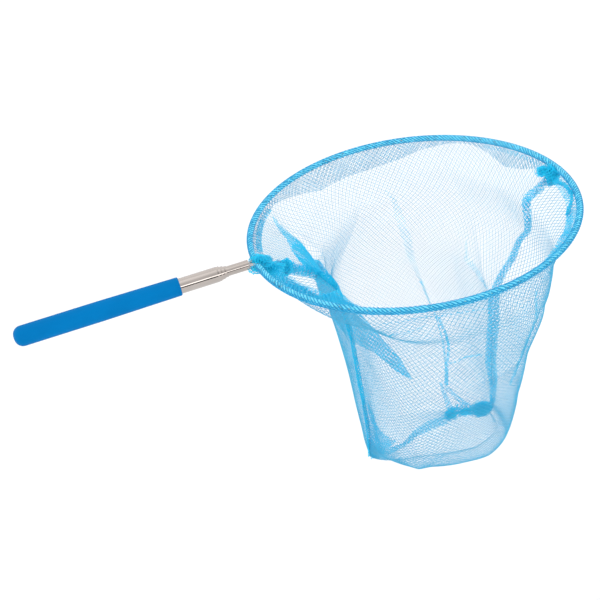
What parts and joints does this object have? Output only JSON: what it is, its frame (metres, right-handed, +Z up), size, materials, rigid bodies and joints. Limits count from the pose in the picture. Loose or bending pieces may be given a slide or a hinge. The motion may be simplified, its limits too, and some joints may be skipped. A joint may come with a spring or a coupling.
{
  "type": "telescopic dip net",
  "caption": "Hand-held telescopic dip net: sleeved steel pole of nested tubes, round wire hoop and a deep, closed-bottomed bag of fine mesh.",
  "frame": {"origin": "on the pole's axis, in the middle of the grip's straight rear part", "axes": "+X along the pole from the butt to the hoop, +Z up out of the bag's mouth, square to the hoop; +Y completes the right-handed frame"},
  "size_m": [0.3792, 0.222, 0.2104],
  "materials": {
    "grip_plastic": "satin soft plastic sleeve",
    "plug_plastic": "moulded plastic plug",
    "pole_steel": "polished stainless tube",
    "bush_brass": "turned brass",
    "friction_bronze": "rolled spring bronze strip",
    "wire_steel": "drawn spring wire",
    "hem_mesh": "polyester mesh rolled round the wire in several layers",
    "panel_mesh": "fine open polyester mesh",
    "seam_mesh": "doubled polyester mesh"
  },
  "bodies": {
    "handle": {"grip_sleeve": "grip_plastic", "rear_plug": "plug_plastic", "outer_tube": "pole_steel"},
    "second_stage": {"second_tube": "pole_steel", "second_bush": "bush_brass", "second_spring": "friction_bronze"},
    "third_stage": {"third_tube": "pole_steel", "third_bush": "bush_brass", "third_spring": "friction_bronze"},
    "swivel_sleeve": {"inner_spring": "friction_bronze"},
    "net_head": {"inner_tube": "pole_steel", "inner_bush": "bush_brass", "wire_plug": "plug_plastic", "hoop_wire": "wire_steel", "front_hem": "hem_mesh", "back_hem": "hem_mesh", "front_panel": "panel_mesh", "back_panel": "panel_mesh", "pole_side_seam": "seam_mesh", "far_side_seam": "seam_mesh", "bottom_seam": "seam_mesh"}
  },
  "joints": [
    {"name": "second_tube_slide", "type": "slide", "parent": "handle", "child": "second_stage", "axis": [1, 0, 0], "range_m": [0, 0.1097]},
    {"name": "third_tube_slide", "type": "slide", "parent": "second_stage", "child": "third_stage", "axis": [1, 0, 0], "range_m": [0, 0.1121]},
    {"name": "inner_tube_slide", "type": "slide", "parent": "third_stage", "child": "swivel_sleeve", "axis": [1, 0, 0], "range_m": [0, 0.1145]},
    {"name": "net_swivel", "type": "hinge", "parent": "swivel_sleeve", "child": "net_head", "pos_m": [0.13, 0, 0], "axis": [1, 0, 0], "continuous": true}
  ]
}
